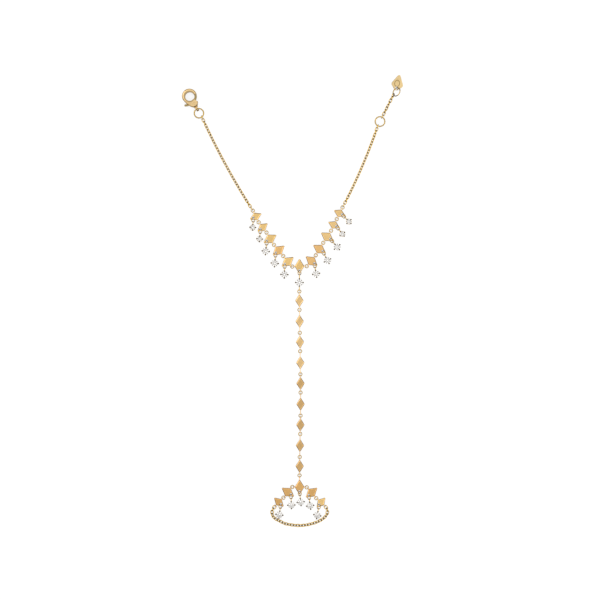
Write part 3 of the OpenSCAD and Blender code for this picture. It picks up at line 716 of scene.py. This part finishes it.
@dataclass
class Plate:
    """A bevelled rhombus plate with its soldered eyelets, and a drop hole if it has one."""

    node: str
    length: float
    width: float
    lean: float
    finish: GoldFinish
    hole_out: float = 0.0
    end_reach: float = 0.0
    top_reach: float = 0.0
    thickness: float = 0.45 * MM
    bevel_w: float = 0.34 * MM
    bevel_h: float = 0.18 * MM
    flat: float = 0.24 * MM
    hole_d: float = 0.94 * MM
    side_reach: float = 0.78 * MM
    sink: float = 0.32 * MM
    eye_h: float = 1.05 * MM
    eye_wire: float = 0.26 * MM
    soft: float = 0.035 * MM
    halo: float = 0.09 * MM
    halo_step: float = 0.01 * MM
    top_rows: int = 3
    tip_pull: float = 0.75
    hole_pull: float = 1.4

    def corners(self, inset: float, flat_inset: float) -> Array:
        """The rhombus with its slanted sides moved in by inset and its blunt tips by flat_inset.
        A slanted side keeps n . p = c - inset. Where it meets its neighbour before the blunt tip,
        both corners of the tip fall together on the axis.

        Args:
            inset: how far the slanted sides move in.
            flat_inset: how far the blunt tips move in.

        Returns:
            Eight corners, clockwise from the right corner of the upper tip.
        """
        f, x, y = self.flat / 2, self.width / 2, self.length / 2
        long = hypot(y - f, x - f)
        nx, ny = (y - f) / long, (x - f) / long
        c = nx * x + ny * f - inset
        top, side = y - flat_inset, x - flat_inset
        tip = ((c - ny * top) / nx, top) if c > ny * top else (0.0, c / ny)
        corner = (side, (c - nx * side) / ny) if c > nx * side else (c / nx, 0.0)
        quarter = np.array([tip, corner])
        flip = quarter[::-1]
        return np.concatenate([quarter, flip * [1, -1], quarter * [-1, -1], flip * [-1, 1]])

    def loop(self, inset: float, flat_inset: float, shares: list[Array]) -> Array:
        """The inset rhombus with points along its sides.

        Args:
            inset: how far the slanted sides move in.
            flat_inset: how far the blunt tips move in.
            shares: for each side, the shares of its length at which it has a point.

        Returns:
            Points by 2, in order.
        """
        c = self.corners(inset, flat_inset)
        after = np.roll(c, -1, 0)
        return np.concatenate([c[i] + np.outer(s, after[i] - c[i]) for i, s in enumerate(shares)])

    def shares(self, steps: int = 9) -> list[Array]:
        """Where the loops have their points: at the corners, and on each slanted side at the even
        shares raised to a power, which sets them closer together near the hole.

        Args:
            steps: points on each slanted side.

        Returns:
            The shares of each side.
        """
        even, blunt = np.arange(steps) / steps, np.array([0.0])
        power = self.hole_pull if self.hole_out else self.tip_pull
        near, far = even ** power, 1 - (1 - even) ** power
        slanted = (even, far, near, even) if self.hole_out else (near, far, near, far)
        return [share for side in slanted for share in (side, blunt)]

    def blank(self) -> Skin:
        """The plate's closed skin. Loops of the inset rhombus are stacked as a profile: the flat
        top, a softened ridge, the bevel, the wall and the flat bottom. A plate with no hole closes
        on its middle.

        Returns:
            The skin, about the plate's middle.
        """
        t, e, shares = self.thickness / 2, self.soft, self.shares()
        slope = self.bevel_h / self.bevel_w
        profile = [
            (self.bevel_w + e, e, t), (self.bevel_w, e, t - 0.25 * slope * e),
            (self.bevel_w - e, e, t - slope * e), (e, e / 2, t - self.bevel_h + slope * e),
            (e / 4, e / 4, t - self.bevel_h - e / 4), (0.0, 0.0, t - self.bevel_h - e),
            (0.0, 0.0, e - t), (e / 4, e / 4, e / 4 - t), (e, e, -t)]
        rows = [np.column_stack([self.loop(inset, blunt, shares), np.full(sum(map(len, shares)), z)])
                for inset, blunt, z in profile]
        return self.pierced(rows) if self.hole_out else woven(np.stack(rows), close_rows=False, cap=True)

    def top(self, flat: Array) -> Array:
        """The height of the bevelled top. A slanted side is the line n . p = c, and the bevel
        falls by its slope from its own width inside that line.

        Args:
            flat: points by 2.

        Returns:
            The height at each point.
        """
        f, x, y = self.flat / 2, self.width / 2, self.length / 2
        normal = np.array([y - f, x - f]) / hypot(y - f, x - f)
        inside = normal @ [x, f] - np.abs(flat) @ normal
        return self.thickness / 2 - self.bevel_h / self.bevel_w * np.clip(self.bevel_w - inside, 0, None)

    def pierced(self, rows: list[Array]) -> Skin:
        """The stacked rows with a hole through them. Rows of the top that come too near the hole
        are pushed out round it, down the bevel. The hole's wall and its softened rims get painted shade.

        Args:
            rows: the profile's loops, points by 3, from the flat top to the flat bottom.

        Returns:
            The skin, about the plate's middle.
        """
        t, e, r = self.thickness / 2, self.soft, self.hole_d / 2
        middle = np.array([0.0, -self.hole_out])
        ways = rows[0][:, :2] - middle
        ways /= np.linalg.norm(ways, axis=1, keepdims=True)
        for i, row in enumerate(rows[:self.top_rows]):
            out = row[:, :2] - middle
            reach = np.linalg.norm(out, axis=1)
            least = r + self.halo + (i + 1) * self.halo_step
            near = reach < least
            row[near, :2] = middle + out[near] / reach[near, None] * least
            row[near, 2] = np.minimum(row[near, 2], self.top(row[near, :2]))
        upper = [middle + ways * k for k in (r, r + e / 4, r + e, r + self.halo)]
        drops = (e, e / 4, 0.0, 0.0)
        above = [np.column_stack([flat, self.top(flat) - drop]) for flat, drop in zip(upper, drops)]
        below = [np.column_stack([flat, np.full(len(flat), drop - t)])
                 for flat, drop in zip(upper[2::-1], (0.0, e / 4, e))]
        skin = woven(np.stack(above + rows + below))
        # Painted shade on the hole's wall and rims.
        rim = [1.0] * len(below)
        skin.shade = np.repeat(rim + [0.0] * (1 + len(rows)) + rim, len(ways))
        return skin

    def eyelet(self, edge: float, reach: float, heading: float) -> Skin:
        """An oval loop on edge that runs into the plate.

        Args:
            edge: from the plate's middle to its edge, along the loop's heading.
            reach: from the edge to the middle of the loop's outer wire.
            heading: which way it points from the plate's middle.

        Returns:
            Its skin, about the plate's middle.
        """
        length = reach + self.sink + self.eye_wire
        path = stadium(length - self.eye_wire, self.eye_h - self.eye_wire, EYE_STEPS)
        skin = wire_loop(path, self.eye_wire)
        middle = np.array([0.0, edge + reach - (reach + self.sink) / 2, 0.0])
        return skin.moved(middle, ON_EDGE).moved(np.zeros(3), heading_axes(heading))

    def place(self) -> Array:
        """The plate's middle: that of its box, or half its length up where a top eyelet sticks out.

        Returns:
            The middle, at the mean height of the box.
        """
        low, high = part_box(self.node)
        middle = (np.array(low) + np.array(high)) / 2
        if self.top_reach:
            middle[1] = low[1] + self.length / 2
        return middle

    def build(self) -> None:
        """Makes the plate and its eyelets as one piece."""
        parts = [self.blank()]
        if self.end_reach:
            parts += [self.eyelet(self.length / 2, self.end_reach, a) for a in (0, 180)]
        else:
            parts += [self.eyelet(self.width / 2, self.side_reach, a) for a in (90, -90)]
        if self.top_reach:
            parts.append(self.eyelet(self.length / 2, self.top_reach, 0))
        skin = joined(parts).moved(self.place(), heading_axes(self.lean))
        # The plate's walls and steep bevels get painted shade.
        Piece(self.node + "_gold", skin, self.finish, "plate_gold", (self.node,), sharp=24, flank_top=0.5,
              flank_low=0.1).build()


class Size(Enum):
    """The plates' sizes: length and width."""

    LARGE = (5.8 * MM, 3.7 * MM)
    SMALL = (5.0 * MM, 3.1 * MM)
    HAND = (4.9 * MM, 3.2 * MM)


@dataclass
class PlateRow:
    """A row of plates: each one's size, lean and tone, from the left."""

    stem: str
    sizes: tuple[Size, ...]
    leans: tuple[float, ...]
    tones: tuple[Tone, ...]
    middle: int
    hole_inset: float = 1.4 * MM
    middle_inset: float = 1.2 * MM
    top_reach: float = 0.0

    def build(self) -> None:
        """Makes every plate of the row."""
        for i, (size, lean, tone) in enumerate(zip(self.sizes, self.leans, self.tones)):
            length, width = size.value
            inset = self.middle_inset if i == self.middle else self.hole_inset
            Plate(f"{self.stem}{i + 1}", length, width, lean, plate_finish(tone, i),
                  hole_out=length / 2 - inset, top_reach=self.top_reach if i == self.middle else 0.0).build()


@dataclass
class HandLine:
    """The line of plates down the hand, with eyelets at their tips, short and long in turn."""

    leans: tuple[float, ...] = (-0.5, -0.8, -1.0, -0.7, -0.5, 0.0, 1.2, 1.1, 0.6)
    short_reach: float = 0.96 * MM
    long_reach: float = 1.88 * MM
    tones: tuple[Tone, ...] = (Tone.HAND,) * 4 + (Tone.HAND_DEEP,) * 5

    def build(self) -> None:
        """Makes every plate of the line."""
        length, width = Size.HAND.value
        for i, lean in enumerate(self.leans):
            reach = self.long_reach if i % 2 else self.short_reach
            Plate(f"hand_plate_{i + 1}", length, width, lean, plate_finish(self.tones[i], i),
                  end_reach=reach).build()


def plate_finish(tone: Tone, number: int, patterns: int = 4) -> GoldFinish:
    """A plate's own gold.

    Args:
        tone: its shade.
        number: the plate's number, which chooses its pattern.
        patterns: how many patterns take turns.

    Returns:
        The finish.
    """
    seed = number % patterns
    return GoldFinish(f"gold_{tone.name.lower()}_{seed}", tone.value, roughness=0.2, seed=float(seed))


# Settings and stones


@dataclass
class Setting:
    """A basket of two rails and four ball-ended prongs, with a bail on edge."""

    stone_d: float
    bail: float
    lower: float = 0.0
    culet_z: float = 0.32 * MM
    mid_z: float = 0.7764 * MM
    prong_d: float = 0.44 * MM
    ball_d: float = 0.58 * MM
    bite: float = 0.08 * MM
    rise: float = 0.16 * MM
    rail_wire: float = 0.26 * MM
    foot_d: float = 1.4 * MM
    bail_h: float = 1.28 * MM
    eye_h: float = 1.05 * MM
    bail_wire: float = 0.26 * MM
    pavilion: float = 0.43
    girdle: float = 0.035
    ball_shade: float = 0.9
    bar_shade: float = 0.6
    bar_steps: int = 7
    ball_steps: int = 9
    ball_start: float = -0.9
    ball_point: float = 0.0004

    def shoulder(self) -> tuple[float, float]:
        """How far out a prong stands at the stone's edge, and how high that edge is."""
        out = self.stone_d / 2 + self.prong_d / 2 - self.bite
        return out, self.culet_z + self.pavilion * self.stone_d

    def prong(self) -> Skin:
        """A prong: a bar from the foot rail out past the stone's edge, bent in over it, swelling
        to a ball at its tip. The ball's radius at the height h from its middle is the square root
        of 1 - h * h, in units of its own.

        Returns:
            Its skin, on the +x side.
        """
        out, edge = self.shoulder()
        top = edge + self.girdle * self.stone_d + self.rise
        foot = np.array([self.foot_d / 2, 0, self.rail_wire / 2])
        shoulder, tip = np.array([out, 0, edge]), np.array([out - self.bite, 0, top])
        ball, bar = self.ball_d / 2, self.prong_d / 2
        rise = np.linspace(0, 1, self.bar_steps)[:, None]
        around = np.linspace(self.ball_start, 1, self.ball_steps)
        path = np.concatenate([foot + (shoulder - foot) * rise, tip + np.outer(around * ball, [0, 0, 1])])
        swell = ball * np.sqrt(np.clip(1 - around ** 2, self.ball_point, 1))
        end = np.maximum(swell, np.where(around < 0, bar, 0))
        skin = spindle(path, np.concatenate([np.full(self.bar_steps, bar), end]))
        skin.shade = np.where(skin.points[:, 2] > top - ball, self.ball_shade, self.bar_shade)
        return skin

    def hung(self, length: float, height: float, middle: float) -> Skin:
        """A loop on edge at the upper rail.

        Args:
            length: between the middles of its end wires.
            height: over its wire.
            middle: where its middle lies along y.

        Returns:
            Its skin.
        """
        path = stadium(length, height - self.bail_wire, EYE_STEPS)
        return wire_loop(path, self.bail_wire).moved(np.array([0, middle, self.mid_z]), ON_EDGE)

    def skin(self) -> Skin:
        """The whole setting, with the bail toward +y.

        Returns:
            Its skin, about the stone's axis.
        """
        out, edge = self.shoulder()
        share = (self.mid_z - self.rail_wire / 2) / (edge - self.rail_wire / 2)
        rail = self.foot_d / 2 + (out - self.foot_d / 2) * share
        parts = [ring(across + self.rail_wire, self.rail_wire).moved(np.array([0, 0, height]), np.eye(3))
                 for across, height in ((self.foot_d, self.rail_wire / 2), (2 * rail, self.mid_z))]
        parts += [self.prong().moved(np.zeros(3), heading_axes(a)) for a in (0, 90, 180, 270)]
        parts.append(self.hung(self.bail, self.bail_h, rail + self.bail / 2))
        if self.lower:
            parts.append(self.hung(self.lower, self.eye_h, -rail - self.lower / 2))
        return joined(parts)


class Drop(Enum):
    """The kinds of drop: the stone's diameter and the lengths of its bail and of a loop below."""

    LARGE = (2.7 * MM, 1.75 * MM, 0.0)
    SMALL = (2.1 * MM, 1.55 * MM, 0.0)
    CENTRE = (2.9 * MM, 2.3 * MM, 2.2 * MM)


@dataclass
class DropRow:
    """The settings of one row, each under its own stone: their kinds and how far each swings."""

    node: str
    stem: str
    kinds: tuple[Drop, ...]
    swings: tuple[float, ...]
    metal: GoldFinish
    stone: StoneFinish

    def build(self) -> None:
        """Makes the row's settings as one piece and gives each stone its material."""
        skins = []
        for i, (kind, swing) in enumerate(zip(self.kinds, self.swings)):
            low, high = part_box(f"{self.stem}{i + 1}")
            place = np.array([(low[0] + high[0]) / 2, (low[1] + high[1]) / 2, 0.0])
            skins.append(Setting(*kind.value).skin().moved(place, heading_axes(-swing)))
            dress(f"{self.stem}{i + 1}", self.stone)
        # The settings' flanks get a little painted shade.
        Piece(self.node + "_gold", joined(skins), self.metal, "wire_gold", (self.node,), sharp=40,
              painted_flank_shade=0.4).build()


def dress(node: str, finish: Union[GoldFinish, StoneFinish]) -> None:
    """Gives a CAD node a finish.

    Args:
        node: the node's name.
        finish: its finish.
    """
    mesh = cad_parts[node].data
    mesh.materials.clear()
    mesh.materials.append(WORKSHOP.of(finish))
    log.info("%s: dressed in %s", node, finish.name)


# Clasp and tag


@dataclass
class Softened:
    """A CAD node whose upper and lower edges are rounded, on a merged copy of its mesh. Triangles
    that lie in one plane are first made one face, so that the rounding has room."""

    node: str
    finish: GoldFinish
    slot: str
    body: str = "bracelet"
    width: float = 0.09 * MM
    steps: int = 3
    wall_shade: float = 0.8
    wall_shade_power: float = 0.6
    crease: float = 35.0
    flatness: float = 1.5
    level: float = 2e-6
    spared: tuple[tuple[float, float, float], ...] = ()

    def build(self) -> None:
        """Makes the softened copy and lets it stand for the node."""
        points, triangles = cad_points(self.node)
        good = (triangles[:, 0] != triangles[:, 1]) & (triangles[:, 1] != triangles[:, 2]) & (
            triangles[:, 2] != triangles[:, 0])
        piece = Piece(self.node + "_gold", Skin(points, [triangles[good]]), self.finish, self.slot,
                      (self.node,), self.body, sharp=self.crease, painted_flank_shade=0.0).build()
        self._flatten(piece.data)
        self._weigh(piece.data)
        bevel = piece.modifiers.new("rounded edges", "BEVEL")
        bevel.width, bevel.segments, bevel.limit_method = self.width, self.steps, "WEIGHT"
        bevel.use_clamp_overlap = not self.spared

    def _flatten(self, mesh: bpy.types.Mesh) -> None:
        """Joins the triangles of each plane and paints shade on the walls: the darkening is the wall
        shade value times a power of how far a face turns from level.

        Args:
            mesh: the piece's mesh.
        """
        work = bmesh.new()
        work.from_mesh(mesh)
        bmesh.ops.dissolve_limit(work, angle_limit=radians(self.flatness), verts=work.verts, edges=work.edges)
        work.to_mesh(mesh)
        work.free()
        mesh.attributes.remove(mesh.attributes[PATINA_AND_SHADE])
        normals = np.zeros(len(mesh.polygons) * 3)
        mesh.polygons.foreach_get("normal", normals)
        # Painted shade on faces that turn from level.
        patina_and_shade = (self.wall_shade * (1 - np.abs(normals[2::3])) ** self.wall_shade_power).astype(np.float32)
        mesh.attributes.new(PATINA_AND_SHADE, "FLOAT", "FACE").data.foreach_set("value", patina_and_shade)

    def _weigh(self, mesh: bpy.types.Mesh) -> None:
        """Chooses the edges to round: the sharp ones of the highest and lowest faces, apart from
        those within the spared circles.

        Args:
            mesh: the piece's mesh.
        """
        points = np.zeros(len(mesh.vertices) * 3)
        mesh.vertices.foreach_get("co", points)
        points = points.reshape(-1, 3)
        ends = np.zeros(len(mesh.edges) * 2, np.int64)
        mesh.edges.foreach_get("vertices", ends)
        ends = ends.reshape(-1, 2)
        work = bmesh.new()
        work.from_mesh(mesh)
        crease = radians(self.crease)
        sharp = np.array([len(e.link_faces) == 2 and e.calc_face_angle(0.0) > crease for e in work.edges])
        work.free()
        z = points[ends, 2]
        outer = (z > points[:, 2].max() - self.level).all(1) | (z < points[:, 2].min() + self.level).all(1)
        middle = points[ends].mean(1)
        for x, y, r in self.spared:
            outer &= np.hypot(middle[:, 0] - x, middle[:, 1] - y) > r
        weight = (sharp & outer).astype(np.float32)
        mesh.attributes.new("bevel_weight_edge", "FLOAT", "EDGE").data.foreach_set("value", weight)
        log.info("%s: %d of %d edges rounded", self.node, int((weight > 0).sum()), len(ends))


# Table, light and camera


@dataclass
class Studio:
    """A white table, soft light all round and a camera straight above."""

    frame_width: float = 0.24
    lens: float = 120.0
    sensor: float = 36.0
    look_at: tuple[float, float] = (2.963 * MM, 0.49 * MM)
    table: float = 3.0
    greys: tuple[float, float] = (0.217, 0.223)
    grey_stops: tuple[float, float] = (0.3, 0.7)
    grain_mm: float = 40.0
    glow: float = 3.65
    softbox: float = 0.8
    sky_strength: float = 1.6
    sky: tuple[tuple[float, Rgb], ...] = (
        (0.0, (0.04, 0.03, 0.02)), (0.45, (0.10, 0.075, 0.05)), (0.62, (0.5, 0.47, 0.43)),
        (0.7, (1.35, 1.33, 1.3)), (0.86, (1.3, 1.3, 1.3)), (0.93, (0.56, 0.56, 0.56)))

    def build(self) -> None:
        """Makes the table, the lights, the world and the camera."""
        self._table()
        self._world()
        self._light("left_softbox", (-0.9, 0.45, 0.8), 2.2)
        self._light("right_softbox", (0.9, -0.3, 0.8), 1.4)
        self._camera()
        bpy.context.scene.view_settings.view_transform = "Standard"

    def _table(self) -> None:
        """A plain white floor that gives off most of its light itself."""
        half = self.table / 2
        mesh = bpy.data.meshes.new("table")
        corners = [(-half, -half, 0), (half, -half, 0), (half, half, 0), (-half, half, 0)]
        mesh.from_pydata(corners, [], [(0, 1, 2, 3)])
        paper = bpy.data.materials.new("white_paper")
        paper.use_nodes = True
        graph = Graph(paper.node_tree)
        stops = [(stop, (grey,) * 3) for stop, grey in zip(self.grey_stops, self.greys)]
        shade = graph.node("ShaderNodeValToRGB", {"stops": stops}, {0: graph.noise(self.grain_mm, 1.0)})
        shader = graph.node("ShaderNodeBsdfPrincipled", {}, {
            "Base Color": shade, "Roughness": 0.9, "Emission Color": shade, "Emission Strength": self.glow})
        graph.node("ShaderNodeOutputMaterial", {}, {"Surface": shader})
        mesh.materials.append(paper)
        table = bpy.data.objects.new("table", mesh)
        bpy.context.scene.collection.objects.link(table)

    def _world(self) -> None:
        """Soft light by height: dim low down, brightest in a band part way up and softer overhead."""
        world = bpy.data.worlds.new("studio")
        bpy.context.scene.world = world
        world.use_nodes = True
        graph = Graph(world.node_tree)
        way = graph.node("ShaderNodeTexCoord", {}, {}, "Generated")
        height = graph.node("ShaderNodeSeparateXYZ", {}, {0: way}, "Z")
        sky = graph.node("ShaderNodeValToRGB", {"stops": self.sky}, {0: height})
        light = graph.node("ShaderNodeBackground", {}, {"Color": sky, "Strength": self.sky_strength})
        graph.node("ShaderNodeOutputWorld", {}, {"Surface": light})

    def _light(self, name: str, place: tuple[float, float, float], watts: float) -> None:
        """One soft box that faces the bracelet.

        Args:
            name: its name.
            place: where it stands.
            watts: its power.
        """
        lamp = bpy.data.lights.new(name, "AREA")
        lamp.shape, lamp.size, lamp.energy = "SQUARE", self.softbox, watts
        stand = bpy.data.objects.new(name, lamp)
        stand.location = place
        stand.rotation_euler = (-Vector(place)).to_track_quat("-Z", "Y").to_euler()
        bpy.context.scene.collection.objects.link(stand)

    def _camera(self) -> None:
        """A long lens straight above the table."""
        camera = bpy.data.cameras.new("camera")
        camera.lens, camera.sensor_width, camera.clip_start = self.lens, self.sensor, 0.01
        seen = bpy.data.objects.new("camera", camera)
        seen.location = (*self.look_at, self.frame_width * self.lens / self.sensor)
        bpy.context.scene.collection.objects.link(seen)
        bpy.context.scene.camera = seen


# The bracelet


def plate_rows() -> list[Union[PlateRow, HandLine]]:
    """The plates of the wrist, the finger part and the hand line.

    Returns:
        The rows, in the order in which they are built.
    """
    large, small = Size.LARGE, Size.SMALL
    plain, warm, pale, finger = Tone.PLATE, Tone.PLATE_WARM, Tone.PLATE_PALE, Tone.FINGER
    wrist = PlateRow(
        "wrist_plate_", (small,) * 2 + (large,) * 7 + (small,) * 2,
        (64, 51, 59, 51, 52, 0, -51, -58, -56, -63, -63),
        (plain,) * 3 + (warm,) + (plain,) * 2 + (warm,) * 2 + (pale,) * 3, middle=5)
    ring_finger = PlateRow(
        "finger_plate_", (small,) + (large,) * 3 + (small,), (-47, -55, 0, 50, 41),
        (finger,) * 4 + (plain,), middle=2, top_reach=1.5 * MM)
    return [wrist, ring_finger, HandLine()]


def drop_rows() -> list[DropRow]:
    """The drops of the wrist row and of the finger part.

    Returns:
        The rows, in the order in which they are built.
    """
    basket = GoldFinish("gold_setting", Tone.WIRE.value, patina_and_shade=(0.085, 0.058, 0.022), edge=(0.72, 0.52, 0.2),
                        tint_swing=0.06)
    stone = StoneFinish("white_stone")
    kinds = (Drop.SMALL,) * 2 + (Drop.LARGE,) * 3 + (Drop.CENTRE,) + (Drop.LARGE,) * 3 + (Drop.SMALL,) * 2
    swings = (-3, -5, -6, -5, -2, -0.5, 9, 27, 40, 37, 44)
    return [DropRow("wrist_settings", "wrist_stone_", kinds, swings, basket, stone),
            DropRow("finger_settings", "finger_stone_", (Drop.LARGE,) * 5, (-8, 2, 6, 8, -11), basket, stone)]


def wireworks() -> list[Wirework]:
    """The rings and the chains. A higher flank shade value paints more shade on a wire's sides.

    Returns:
        The works, in the order in which they are built.
    """
    wire = GoldFinish("gold_wire", Tone.RING.value, edge=(0.52, 0.36, 0.07), roughness=0.14, tint_swing=0.08,
                      patch_mm=1.5)
    chain = GoldFinish("gold_chain", Tone.WIRE.value, patina_and_shade=(0.05, 0.031, 0.004), edge=(0.72, 0.5, 0.1),
                       roughness=0.14, patch_mm=1.5)
    works = [Wirework(node, wire, steps=20, is_round=True)
             for node in ("wrist_jump_rings", "hand_jump_rings", "finger_jump_rings")]
    # The drop rings get painted shade round both ends, where they pass through a plate's hole and a bail.
    works += [Wirework(node, wire, steps=20, is_round=True, contact=1.0, painted_flank_shade=0.6)
              for node in ("wrist_drop_rings", "finger_drop_rings")]
    works += [Wirework(node, wire, steps=32, is_round=True)
              for node in ("clasp_ring", "sizing_ring", "end_ring")]
    # The chains get patina and painted shade at each link's ends, where links rub and hide each other.
    flank_shades = {"left_chain": 0.5, "right_chain": 0.6, "extension_chain": 1.4, "finger_chain": 0.9}
    works += [Wirework(node, chain, contact=1.0, painted_flank_shade=painted_flank_shade) for node, painted_flank_shade in flank_shades.items()]
    return works


def clasp_parts() -> list[Softened]:
    """The clasp's body, lever and pin. Its dark lines are painted shade, round the hook's inner rim
    and where the tail meets the ring, and the lever's darker gold is painted shade too.

    Returns:
        The parts, in the order in which they are built.
    """
    opening, hook = (-41.09 * MM, 81.71 * MM), 2.0 * MM
    pivot, boss = (-39.4 * MM, 78.87 * MM), 0.9 * MM
    tail, tail_shade_radius = (-37.8 * MM, 76.17 * MM), 0.7 * MM
    # Painted shade lines round the hook's inner rim and where the tail meets the ring.
    painted_shade_lines = (Groove(opening, (hook, hook), 0.0), Groove(tail, (tail_shade_radius, tail_shade_radius), 0.0, line=0.6, strength=0.9))
    return [Softened("clasp_body", GoldFinish("gold_clasp", Tone.CLASP.value, grooves=painted_shade_lines), "wire_gold",
                     width=0.04 * MM, steps=2, spared=((*opening, hook), (*pivot, boss))),
            # The lever in the darker, shaded gold.
            Softened("clasp_lever", GoldFinish("gold_lever", Tone.LEVER.value), "wire_gold", body="lever"),
            Softened("clasp_pin", GoldFinish("gold_pin", Tone.CLASP.value), "wire_gold", width=0.05 * MM)]


def tag() -> Softened:
    """The end tag, with a plain oval line a little left of and below its middle.

    Returns:
        The tag.
    """
    low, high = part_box("end_tag")
    middle = ((low[0] + high[0]) / 2 - 0.1 * MM, (low[1] + high[1]) / 2 - 0.3 * MM)
    oval = Groove(middle, (1.0 * MM, 1.25 * MM), 13.0, strength=0.75)
    finish = GoldFinish("gold_tag", Tone.TAG.value, roughness=0.22, wave=0.2, grooves=(oval,))
    # The tag's walls get full painted shade.
    return Softened("end_tag", finish, "plate_gold", width=0.1 * MM, wall_shade=1.0)


def main() -> None:
    """Builds every piece in order."""
    logging.basicConfig(level=logging.INFO, format="%(name)s: %(message)s")
    for part in (*plate_rows(), *drop_rows(), *wireworks(), *clasp_parts(), tag(), Studio()):
        part.build()


if __name__ == "__main__":
    main()
